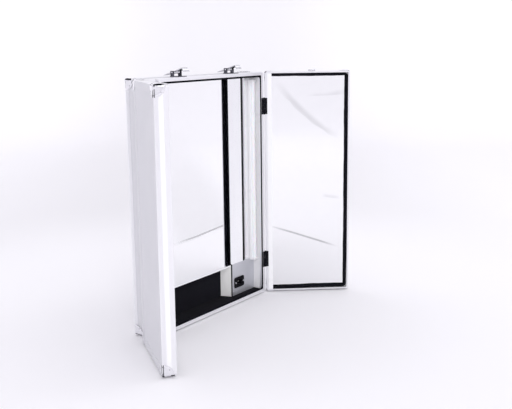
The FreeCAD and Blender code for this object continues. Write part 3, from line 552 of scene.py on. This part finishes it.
foam = {"band": 9.8 * mm, "cornerRound": 10 * mm, "samples": 260, "wave": 0.7 * mm, "slack": 1.4 * mm,
        "innerGap": 0.3 * mm, "outerGap": 0.25 * mm, "outerShift": 31, "slackFrom": 0.45, "slackGrows": 0.02,
        "slackEnds": 0.11, "slackFades": 0.09, "innerSlack": 0.45,
        "waves": [(1, 0.034, 0.7), (0.6, 0.0131, 2.1), (0.35, 0.0052, 4.0)]}  # height, length, start


def makeFoam(side, place):
    # a strip along the bottom, up the free side and back along the top. Its centre line is three straight
    # runs and two quarter arcs; its two edges wander by sums of sines, and the lower run stands off
    low, high = localBox(side + "_door_lining", place)
    half, radius = foam["band"] / 2, foam["cornerRound"] - foam["band"] / 2
    x0, x1, z0, z1 = low[0], high[0] - half, low[2] + half, high[2] - half
    level, upright, arc = x1 - radius - x0, z1 - z0 - 2 * radius, math.pi / 2 * radius
    marks = np.cumsum([0, level, arc, upright, arc, level])
    run = np.linspace(0, marks[-1], foam["samples"])
    bends = np.concatenate([marks[1] + np.linspace(0, arc, 8), marks[3] + np.linspace(0, arc, 8)])
    run = np.unique(np.concatenate((run, bends)))
    heading = math.pi / 2 * (np.clip((run - marks[1]) / arc, 0, 1) + np.clip((run - marks[3]) / arc, 0, 1))
    one, two = run <= marks[1], run <= marks[2]
    three, four = run <= marks[3], run <= marks[4]
    turned = x1 - radius + radius * np.sin(heading)
    x = np.select([one, two, three, four], [x0 + run, turned, x1, turned], x1 - radius - run + marks[4])
    lowArc, highArc = z0 + radius - radius * np.cos(heading), z1 - radius - radius * np.cos(heading)
    z = np.select([one, two, three, four], [z0, lowArc, z0 + radius + run - marks[2], highArc], z1)
    outward = np.column_stack((np.sin(heading), -np.cos(heading)))
    wave = sum(tall * np.sin(run / long + start) for tall, long, start in foam["waves"]) / 2
    grown = np.clip((run - foam["slackFrom"] * level) / foam["slackGrows"], 0, 1)
    left = np.clip((marks[2] + foam["slackEnds"] - run) / foam["slackFades"], 0, 1)
    slack = foam["slack"] * grown * left
    inner = -half + foam["wave"] * wave + foam["innerGap"] - foam["innerSlack"] * slack
    outer = half - foam["outerGap"] + foam["outerGap"] * np.roll(wave, foam["outerShift"]) - slack
    ring = bulb(1, high[1] - low[1], low[1], 16)
    offset = inner[:, None] + (outer - inner)[:, None] * ring[None, :, 0]
    points = np.stack((x[:, None] + outward[:, :1] * offset, np.broadcast_to(ring[None, :, 1], offset.shape),
                       z[:, None] + outward[:, 1:] * offset), -1)
    faces = gridFaces(len(run), len(ring), False, True) + endFaces(len(run), len(ring))
    newPiece(side + "DoorFoam", points, faces, place, "blackFoam", [side + "_door_lining"], sharp=50)


makeSeal()
for side, place in doors.items():
    makeFoam(side, place)
print("seal and foam made")


cap = {"reach": 32 * mm, "skin": 1.344 * mm, "round": 8 * mm, "ball": 2.6 * mm, "ballReach": 16 * mm,
       "rib": 0.5 * mm, "ribAt": 0.86, "ribWide": 0.05}


def capShell():
    # three quarter discs of (distance, angle) points about the corner of a cube, the cube's edges rounded
    # by moving each point to the corner sphere or edge cylinder: m - round * unit(m - p), where m is p
    # kept at least one round from every side. A ball swells at the corner and a rib runs near the rim.
    # The slant, 1 - the largest part of the outward direction, is 0 on the flats and largest on the corner
    distance = cap["reach"] * np.linspace(0, 1, 29)[:, None]
    angle = np.linspace(0, math.pi / 2, 17)[None, :]
    flat = np.stack(np.broadcast_arrays(distance * np.cos(angle), distance * np.sin(angle), 0 * distance), -1)
    shells, slants = [], []
    for turn in range(3):
        face = np.roll(flat, turn, -1).reshape(-1, 3)
        kept = np.maximum(face, cap["round"])
        outward = kept - face
        outward /= np.linalg.norm(outward, axis=1, keepdims=True)
        far = np.linalg.norm(face, axis=1, keepdims=True)
        swell = cap["ball"] * np.clip(1 - far / cap["ballReach"], 0, 1) ** 2
        swell += cap["rib"] * np.exp(-((far / cap["reach"] - cap["ribAt"]) / cap["ribWide"]) ** 2)
        points = kept - outward * (cap["round"] + swell)
        shells.append((points, gridFaces(distance.size, angle.size)))
        slants.append(1 - np.abs(outward).max(1))
    return *joined(shells), np.concatenate(slants)


def cornerSigns(box, whole):
    # for each axis, the side of the whole box on which this solid lies, pointing inwards
    middle = (whole[0] + whole[1]) / 2
    return np.where((box[0] + box[1]) / 2 < middle, 1, -1)


def makeCaps(name, node, place):
    shellPoints, shellFaces, slant = capShell()
    whole = localBox(node, place)
    caps = []
    for box in solidBoxes(node, place):
        signs = cornerSigns(box, whole)
        signs[1] = -1  # every cap sits on the side away from the closing face
        corner = np.where(signs > 0, box[0], box[1])
        faces = shellFaces if np.prod(signs) > 0 else [face[::-1] for face in shellFaces]
        caps.append((corner + shellPoints * signs, faces))
    slant = np.tile(slant / (1 - 1 / math.sqrt(3)), len(caps))
    uv = np.column_stack((slant, np.zeros(len(slant))))
    piece = newPiece(name, *joined(caps), place, "chromeCap", [node], uv, closed=False, sharp=60)
    skin = piece.modifiers.new("skin", "SOLIDIFY")
    skin.thickness = cap["skin"]
    skin.offset = -1


rivet = {"sides": 16,
         "dome": [(0.001, -0.3), (2.2, -0.3), (2.2, 0.15), (2.0, 0.42), (1.5, 0.62), (0.9, 0.68),
                  (0.62, 0.5), (0.001, 0.42)]}  # millimetres


def makeRivets(name, node, place):
    # one turned dome for each rivet, standing out of the cap along the rivet's shortest side
    whole = localBox(node, place)
    heads = []
    for box in solidBoxes(node, place):
        thin = int(np.argmin(box[1] - box[0]))
        sign = 1 if thin == 1 else -cornerSigns(box, whole)[thin]
        axis = np.zeros(3)
        axis[thin] = sign
        centre = (box[0] + box[1]) / 2
        centre[thin] = box[0][thin] if sign > 0 else box[1][thin]
        heads.append(lathe(np.array(rivet["dome"]) * mm, centre, axis, rivet["sides"]))
    newPiece(name, *joined(heads), place, "zincSteel", [node], sharp=50)


makeCaps("bodyCaps", "body_corner_caps", case)
makeRivets("bodyRivets", "body_rivets", case)
for side, place in doors.items():
    makeCaps(side + "DoorCaps", side + "_door_corner_caps", place)
    makeRivets(side + "DoorRivets", side + "_door_rivets", place)
print("corner caps made")


foot = {"sides": 28, "across": 12,  # millimetres
        "section": [(0.001, 0), (4.6, 0), (5.4, 0.25), (5.8, 0.9), (6, 2.2), (6, 4.4), (5.6, 5), (0.001, 5)]}


def makeFeet(name, node, place):
    # one turned section, made as wide as each CAD foot
    feet = []
    for low, high in solidBoxes(node, place):
        scale = (high[0] - low[0]) / (foot["across"] * mm)
        section = np.array(foot["section"]) * mm * (scale, 1)
        under = ((low[0] + high[0]) / 2, (low[1] + high[1]) / 2, low[2])
        feet.append(lathe(section, under, (0, 0, 1), foot["sides"]))
    newPiece(name, *joined(feet), place, "footRubber", [node])


makeFeet("bodyFeet", "body_feet", case)
for side, place in doors.items():
    makeFeet(side + "DoorFeet", side + "_door_feet", place)
print("feet made")


lever = {"sheet": 1.1 * mm, "flange": 2.6 * mm, "dip": 0.4 * mm, "hook": 12 * mm, "waist": 0.86,
         "hookFrom": 0.95, "sideFrom": 0.86, "sideDraw": 0.6, "flangeFrom": 0.12, "flangeGrows": 0.2,
         "flangeTo": 0.97, "flangeFades": 0.1, "tipFlange": 0.15, "barrel": 3.5 * mm,
         "barrelEdge": 0.3 * mm, "barrelWide": 0.9, "baseRound": 0.4 * mm, "keeperRound": 1.2 * mm}


def makeLever(side, place):
    # a pressed strip: from its tail the height follows a low arch, dip * (2 along - 1)^2 under its top,
    # and ends in a hook at the tip. Across it, both sides turn down as flanges, which fade at the tail
    # and the tip, and the strip narrows a little at mid length by a sine squared
    low, high = localBox(side + "_latch_lever", place)
    half = (high[0] - low[0]) / 2
    along = np.linspace(0, 1, 41)[:, None]
    across = np.linspace(-1, 1, 25)[None, :]
    width = half * (1 - (1 - lever["waist"]) * np.sin(math.pi * np.clip(along * 1.05, 0, 1)) ** 2)
    top = high[2] - lever["sheet"] / 2
    arch = top - lever["dip"] * (2 * along - 1) ** 2
    bent = np.clip((along - lever["hookFrom"]) / (1 - lever["hookFrom"]), 0, 1)
    arch -= (lever["hook"] - lever["dip"]) * bent ** 1.5
    past = np.abs(across) - lever["sideFrom"]
    sideShare = np.clip(past / (1 - lever["sideFrom"]), 0, 1)
    tipFade = np.clip((lever["flangeTo"] - along) / lever["flangeFades"], lever["tipFlange"], 1)
    tailFade = np.clip((along - lever["flangeFrom"]) / lever["flangeGrows"], 0, 1)
    drop = lever["flange"] * sideShare ** 1.6 * tipFade * tailFade
    x = width * np.sign(across) * np.minimum(np.abs(across), lever["sideFrom"] + lever["sideDraw"] * past)
    y = high[1] + (low[1] - high[1]) * along
    points = np.stack(np.broadcast_arrays(x, y, arch - drop), -1)
    strip = newPiece(side + "LatchLever", points, gridFaces(along.size, across.size), place, "handledChrome",
                     [side + "_latch_lever"], closed=False, sharp=60)
    skin = strip.modifiers.new("sheet", "SOLIDIFY")
    skin.thickness = lever["sheet"]
    skin.offset = 0
    outer, inner, end = lever["barrel"], lever["barrel"] - lever["barrelEdge"], half * lever["barrelWide"]
    shoulder = end - 0.03 * half
    section = [(0.001 * mm, -end), (inner, -end), (outer, -shoulder), (outer, shoulder), (inner, end),
               (0.001 * mm, end)]
    newPiece(side + "LatchBarrel", *lathe(section, (0, 0, 0), (1, 0, 0), 24), place, "handledChrome")


for side, place in latches.items():
    makeLever(side, place)
# the latch bases take the darkened chrome: painted shade under the levers
softened("latch_bases", "latchBases", "chromeWithPaintedShade", lever["baseRound"])
for side in doors:
    softened(side + "_door_keeper", side + "DoorKeeper", "handledChrome", lever["keeperRound"],
             side + "_door", 3)
print("latches made")


# the CAD shapes with their edges rounded
rounds = {"hinge": 0.25 * mm, "lamp": 1.0 * mm, "bar": 0.8 * mm, "endCap": 1.2 * mm, "inlet": 0.5 * mm,
          "shelf": 0.5 * mm, "plate": 0.25 * mm, "wall": 0.2 * mm, "carpet": 0.6 * mm}
softened("body_hinge_leaves", "bodyHingeLeaves", "blackHinge", rounds["hinge"])
for side in doors:
    door = side + "_door"
    softened(side + "_door_hinge_leaves", side + "DoorHingeLeaves", "blackHinge", rounds["hinge"], door)
    softened(side + "_lamp_housing", side + "LampHousing", "whiteEnamel", rounds["lamp"])
    softened(side + "_door_hinge_bar", side + "DoorHingeBar", "whiteEnamel", rounds["bar"], door, 3)
softened("lamp_end_caps", "lampEndCaps", "whiteEnamel", rounds["endCap"], segments=3)
softened("mains_inlet", "mainsInlet", "inletMoulding", rounds["inlet"])
softened("mirror_shelf", "mirrorShelf", "whiteEnamel", rounds["shelf"])
inletPanel = softened("inlet_panel", "inletPanel", "brushedPanel", rounds["plate"])
softened("electrics_side_plate", "sidePlate", "creamPlate", rounds["plate"])

darkStrip = {"wide": 5 * mm, "finish": "blackHinge"}


def edgeStrip(piece):
    # the panel is cut along an upright line near its left edge, and the strip beside it takes a finish
    mesh = piece.data
    points = np.empty(len(mesh.vertices) * 3)
    mesh.vertices.foreach_get("co", points)
    at = points[::3].min() + darkStrip["wide"]
    shell = bmesh.new()
    shell.from_mesh(mesh)
    everything = [*shell.verts, *shell.edges, *shell.faces]
    bmesh.ops.bisect_plane(shell, geom=everything, plane_co=(at, 0, 0), plane_no=(1, 0, 0), dist=0.001 * mm)
    shell.to_mesh(mesh)
    shell.free()
    paintWhere(piece, darkStrip["finish"], lambda middles, directions: middles[:, 0] < at)


edgeStrip(inletPanel)
walls = {"left": (1, 0, 0), "right": (-1, 0, 0), "top": (0, 0, -1), "bottom": (0, 0, 1)}  # each one's way in
# the inner faces of the case walls take the paler laminate: painted light where they lie in shade
for wall, inwards in walls.items():
    board = softened(wall + "_wall_panel", wall + "Wall", "greyLaminate", rounds["wall"])
    paintWhere(board, "paleLaminate", lambda middles, directions, way=inwards: directions @ way > 0.9)
softened("compartment_lining", "compartmentCarpet", "feltCarpet", rounds["carpet"])

screw = {"sides": 24, "head": [(0.001, 0), (3.0, 0), (3.0, 0.35), (2.7, 0.85), (2.0, 1.15), (1.35, 1.2),
                               (1.3, 0.6), (0.001, 0.5)]}  # millimetres


def makeScrews():
    # one turned head with a hollow in its middle for each screw of the inlet
    heads = []
    for low, high in solidBoxes("inlet_screws", case):
        seat = ((low[0] + high[0]) / 2, high[1], (low[2] + high[2]) / 2)
        heads.append(lathe(np.array(screw["head"]) * mm, seat, (0, -1, 0), screw["sides"]))
    newPiece("inletScrews", *joined(heads), case, "zincSteel", ["inlet_screws"])


makeScrews()
print("fittings made")


studio = {"floorReach": 4.2, "bend": 1.6, "wallTop": 5.0, "sides": 128, "tint": (1, 0.993, 1.012),
          "cloth": 0.985, "weaveShade": 0.985, "nearPaintedShade": 0.93, "nearTo": (0.3, 0.75), "backPaintedShade": 0.865,
          "backFrom": (0.9, 1.9), "aside": (0.564, -0.826, 0), "asideShift": 0.2, "asideFades": (0.3, 1.7),
          "ahead": (0.826, 0.564, 0), "aheadGrows": (-0.6, 0.6), "weave": 1.4}
objectMiddle = Vector((0, 0, 0.35))  # what the soft lights and the dark screens face


def clothShade(value):
    return [value * tint for tint in studio["tint"]] + [1]


def makeSweepMesh():
    # a round dish: flat floor, a quarter arc up and a wall, as radius and height turned about the middle
    reach, bend = studio["floorReach"], studio["bend"]
    floor = np.concatenate(([0.001], np.linspace(0.3, reach, 14)))
    turn = np.linspace(0, math.pi / 2, 17)[1:]
    wall = np.linspace(bend + 0.3, studio["wallTop"], 6)
    radius = np.concatenate((floor, reach + bend * np.sin(turn), np.full(len(wall), reach + bend)))
    height = np.concatenate((np.zeros(len(floor)), bend * (1 - np.cos(turn)), wall))
    angle = np.linspace(0, 2 * math.pi, studio["sides"], endpoint=False)
    points = np.stack((radius[:, None] * np.cos(angle), radius[:, None] * np.sin(angle),
                       np.broadcast_to(height[:, None], (len(height), len(angle)))), -1)
    mesh = bpy.data.meshes.new("sweep")
    faces = gridFaces(len(radius), len(angle), False, True) + endFaces(len(radius), len(angle))[:1]
    mesh.from_pydata(points.reshape(-1, 3).tolist(), [], faces)
    mesh.shade_smooth()
    return mesh


def makeSweep():
    # pale cloth with painted shade: a little greyer close to the object and far behind it
    material, tree = newMaterial("paleCloth")
    where = addNode(tree, "TexCoord").outputs["Object"]
    weave = addNode(tree, "TexNoise", {"Vector": where, "Scale": studio["weave"], "Detail": 2}).outputs["Fac"]
    cloth = studio["cloth"]
    bright = mixColours(tree, weave, clothShade(cloth * studio["weaveShade"]), clothShade(cloth))
    far = addNode(tree, "VectorMath", {0: where}, operation="LENGTH").outputs["Value"]
    aside, ahead = (addNode(tree, "VectorMath", {0: where, 1: studio[way]},
                            operation="DOT_PRODUCT").outputs["Value"] for way in ("aside", "ahead"))
    offMiddle = maths(tree, "ABSOLUTE", maths(tree, "ADD", aside, studio["asideShift"]))
    openness = ramp(tree, offMiddle, *studio["asideFades"])
    behind = maths(tree, "MULTIPLY", ramp(tree, far, *studio["backFrom"]),
                   ramp(tree, ahead, *studio["aheadGrows"]))
    back = mixColours(tree, openness, clothShade(studio["backPaintedShade"]), bright)
    outer = mixColours(tree, behind, bright, back)
    away = ramp(tree, far, *studio["nearTo"])
    colour = mixColours(tree, away, clothShade(studio["nearPaintedShade"]), outer)
    shader = addNode(tree, "BsdfPrincipled", {"Base Color": colour, "Roughness": 0.9,
                                              "Specular IOR Level": 0.1})
    addNode(tree, "OutputMaterial", {"Surface": shader.outputs["BSDF"]})
    sweep = addToScene("sweep", makeSweepMesh())
    sweep.data.materials.append(material)
    sweep.visible_shadow = False


# painted shade of the studio cloth's creases and edges: dark ribbons which only the mirrors and the chrome see.
# Points on the cloth in metres, width, how much each one darkens, and where across it the shade is full
paintedCreaseShades = {
    "longCrease": ([(-3.76, -3.73, 0.44), (-3.47, -3.68, 0.25), (-3.2, -3.61, 0.13), (-2.88, -3.5, 0.03),
                    (-2.45, -3.27, 0)], 0.1, 0.2, (0.5, 0.52)),
    "tableEdge": ([(-0.47, -0.60, 0), (-0.24, -0.57, 0), (-0.08, -0.545, 0), (0.07, -0.52, 0)],
                  0.011, 0.5, (0.4, 0.6)),
    "highShade": ([(-3.9, -4.2, 0.9), (-3.5, -4.3, 0.72), (-3.1, -4.4, 0.62)], 0.5, 0.05, (0.5, 0.52)),
    "thinPleat": ([(-3.42, -3.82, 0.27), (-3.28, -3.95, 0.28), (-3.12, -4.1, 0.33)], 0.09, 0.13, (0.5, 0.52)),
    "lowPleat": ([(-0.78, -1.29, 0), (-0.66, -1.31, 0)], 0.03, 0.12, (0.4, 0.6)),
    "slantShade": ([(0.52, -0.51, 0), (0.76, -0.53, 0), (0.96, -0.56, 0), (1.3, -0.61, 0)],
                   1.1, 0.11, (0.3, 0.7)),
    "slantEdge": ([(0.6, -0.52, 0), (0.76, -0.53, 0), (0.96, -0.56, 0), (1.1, -0.58, 0)],
                  0.009, 0.5, (0.4, 0.6)),
}
shadeRibbon = {"standOff": 0.02, "softEnd": 0.3, "colour": (0.35, 0.34, 0.38, 1), "strength": 0.4,
        "faces": (0.1, 0, 0.35)}  # metres


def paintedShadeMaterial(name, shade, full):
    # the cover rises to the shade and falls again across the ribbon, and fades at both ends
    material, tree = newMaterial(name)
    place = addNode(tree, "TexCoord").outputs["UV"]
    ways = addNode(tree, "SeparateXYZ", {"Vector": place})
    across, along = ways.outputs["X"], ways.outputs["Y"]
    cover = ramp(tree, across, 0.0, full[0], 0.0, shade)
    for fade in (ramp(tree, across, full[1], 1.0, 1.0, 0.0), ramp(tree, along, 0.0, shadeRibbon["softEnd"]),
                 ramp(tree, along, 1 - shadeRibbon["softEnd"], 1.0, 1.0, 0.0)):
        cover = maths(tree, "MULTIPLY", cover, fade)
    clear = addNode(tree, "BsdfTransparent").outputs["BSDF"]
    dark = addNode(tree, "Emission", {"Color": shadeRibbon["colour"],
                                      "Strength": shadeRibbon["strength"]}).outputs["Emission"]
    shader = addNode(tree, "MixShader", {0: cover, 1: clear, 2: dark})
    addNode(tree, "OutputMaterial", {"Surface": shader.outputs["Shader"]})
    return material


def makePaintedCreaseShades():
    # each painted crease shade is a ribbon: its points plus and minus half the width along cross(run, towards the
    # object)
    for name, (route, wide, shade, full) in paintedCreaseShades.items():
        route = np.array(route)
        towards = np.array(shadeRibbon["faces"]) - route
        towards /= np.linalg.norm(towards, axis=1, keepdims=True)
        across = np.cross(np.gradient(route, axis=0), towards)
        across /= np.linalg.norm(across, axis=1, keepdims=True)
        share = np.array([0, 1])
        middle = route + shadeRibbon["standOff"] * towards
        points = middle[:, None] + (share[None, :, None] - 0.5) * wide * across[:, None]
        mesh = bpy.data.meshes.new(name)
        mesh.from_pydata(points.reshape(-1, 3).tolist(), [], gridFaces(len(route), 2))
        along = np.linspace(0, 1, len(route))[:, None]
        addUv(mesh, "across", np.stack(np.broadcast_arrays(share[None, :], along), -1))
        mesh.materials.append(paintedShadeMaterial(name, shade, full))
        onlyReflected(name, mesh)


def onlyReflected(name, mesh):
    # a studio piece that shows in mirrors and chrome alone
    piece = addToScene(name, mesh)
    piece.visible_camera = False
    piece.visible_diffuse = False
    piece.visible_shadow = False


# dark screens that give the chrome its black reflections: middle, width and height
screens = {"leftScreen": ((-4.0, 1.5, 1.1), 1.3, 2.2), "highScreen": ((-0.6, -0.4, 4.6), 2.2, 2.2)}
screenColour = (0.01, 0.01, 0.012, 1)


def makeScreens():
    material, tree = newMaterial("darkScreen")
    shader = addNode(tree, "BsdfPrincipled", {"Base Color": screenColour, "Roughness": 1.0})
    addNode(tree, "OutputMaterial", {"Surface": shader.outputs["BSDF"]})
    for name, (middle, wide, tall) in screens.items():
        middle = np.array(middle)
        towards = np.array(objectMiddle) - middle
        towards /= np.linalg.norm(towards)
        across = np.cross(towards, (0, 0, 1) if abs(towards[2]) < 0.9 else (0, 1, 0))
        across /= np.linalg.norm(across)
        upward = np.cross(across, towards)
        signs = np.array([(-1, -1), (1, -1), (1, 1), (-1, 1)]) / 2
        points = middle + signs[:, :1] * wide * across + signs[:, 1:] * tall * upward
        mesh = bpy.data.meshes.new(name)
        mesh.from_pydata(points.tolist(), [], [(0, 1, 2, 3)])
        mesh.materials.append(material)
        onlyReflected(name, mesh)


lights = {"frontLight": {"at": (-2.6, -3.2, 3.4), "size": 2.4, "power": 26},
          "sideLight": {"at": (3.0, -2.0, 3.2), "size": 2.0, "power": 14}}
lowSun = {"from": (-0.72, -0.64, 0.27), "spread": 28, "strength": 0.62}
air = {"colour": (0.965, 0.955, 1.0, 1), "strength": 0.885}


def aimed(light, way):
    light.rotation_mode = "QUATERNION"
    light.rotation_quaternion = way.to_track_quat("-Z", "Y")


def makeLights():
    for name, look in lights.items():
        data = bpy.data.lights.new(name, "AREA")
        data.shape = "SQUARE"
        data.size = look["size"]
        data.energy = look["power"]
        light = addToScene(name, data)
        light.location = look["at"]
        aimed(light, objectMiddle - Vector(look["at"]))
    # a broad low glow from the viewer's side; the sweep throws no shadow, so it may come from beyond it
    data = bpy.data.lights.new("lowSun", "SUN")
    data.angle = math.radians(lowSun["spread"])
    data.energy = lowSun["strength"]
    sun = addToScene("lowSun", data)
    aimed(sun, -Vector(lowSun["from"]))
    sun.visible_glossy = False


def makeAir():
    world = bpy.data.worlds.new("studioAir")
    world.use_nodes = True
    background = world.node_tree.nodes["Background"]
    background.inputs["Color"].default_value = air["colour"]
    background.inputs["Strength"].default_value = air["strength"]
    bpy.context.scene.world = world


viewpoint = {"at": (-1.9079, -1.3876, 0.7914), "heading": 55.67, "tip": 10.92, "roll": -0.644, "lens": 59.45,
             "sensor": 36, "nearest": 0.05, "farthest": 60}


def makeCamera():
    # heading and tip, in degrees, give the way ahead; the roll turns right and up about it
    heading, tip, roll = (math.radians(viewpoint[key]) for key in ("heading", "tip", "roll"))
    ahead = Vector((math.sin(heading) * math.cos(tip), math.cos(heading) * math.cos(tip), -math.sin(tip)))
    right = Vector((math.cos(heading), -math.sin(heading), 0))
    up = right.cross(ahead)
    level = right * math.cos(roll) + up * math.sin(roll)
    upright = up * math.cos(roll) - right * math.sin(roll)
    data = bpy.data.cameras.new("camera")
    data.lens = viewpoint["lens"]
    data.sensor_width = viewpoint["sensor"]
    data.clip_start = viewpoint["nearest"]
    data.clip_end = viewpoint["farthest"]
    camera = addToScene("camera", data)
    columns = Matrix((level, upright, -ahead)).transposed().to_4x4()
    camera.matrix_world = Matrix.Translation(viewpoint["at"]) @ columns
    bpy.context.scene.camera = camera


bpy.context.scene.view_settings.view_transform = "Standard"
makeAir()
makeSweep()
makePaintedCreaseShades()
makeScreens()
makeLights()
makeCamera()
print("studio made")
